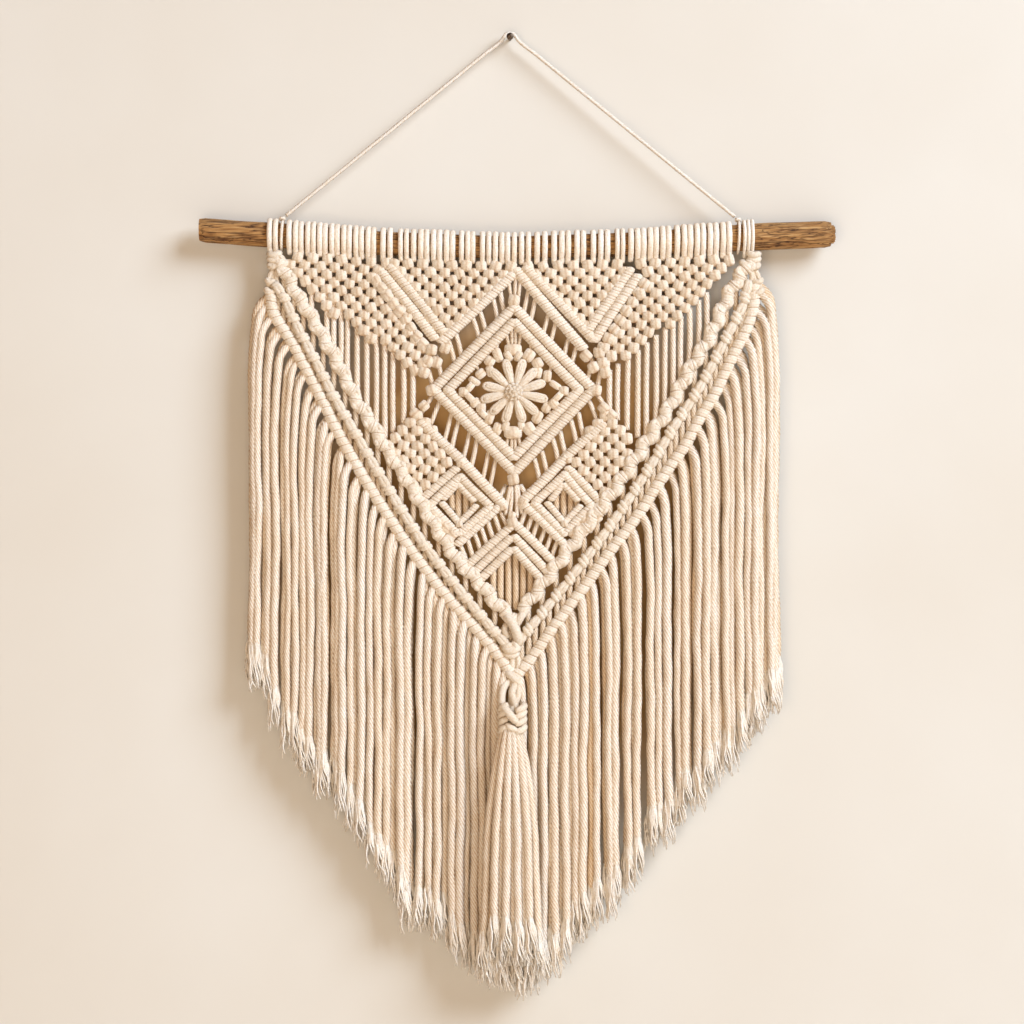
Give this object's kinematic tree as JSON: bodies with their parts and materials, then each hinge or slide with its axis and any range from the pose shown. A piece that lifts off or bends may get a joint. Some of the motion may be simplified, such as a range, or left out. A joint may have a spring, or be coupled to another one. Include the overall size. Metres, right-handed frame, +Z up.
{
  "type": "macrame wall hanging on a wooden branch",
  "caption": "Knotted cotton wall hanging: nets, ridged diamonds and a rosette over a long V of fringe and a tassel, on a bowed branch hung by a cord from a wall nail.",
  "frame": {"origin": "the nail's axis where it enters the wall, on the wall's plane", "axes": "+Z up, +X to the right as seen from the room, +Y into the wall; the hanging faces -Y"},
  "size_m": [0.5092, 0.0627, 0.76],
  "materials": {
    "cotton": "twisted natural cotton cord, matte",
    "cord": "two-ply cotton hanging cord, matte",
    "wood": "dry brown bark with cut ends",
    "steel": "dark bronzed steel"
  },
  "bodies": {
    "root": {"branch": "wood", "wall_nail": "steel", "hanging_cord": "cord", "tie_left": "cord", "tie_right": "cord", "heading": "cotton", "edge_wrap_left": "cotton", "edge_wrap_right": "cotton", "panel": "cotton", "rosette": "cotton", "fringe": "cotton", "tassel": "cotton"}
  },
  "joints": []
}
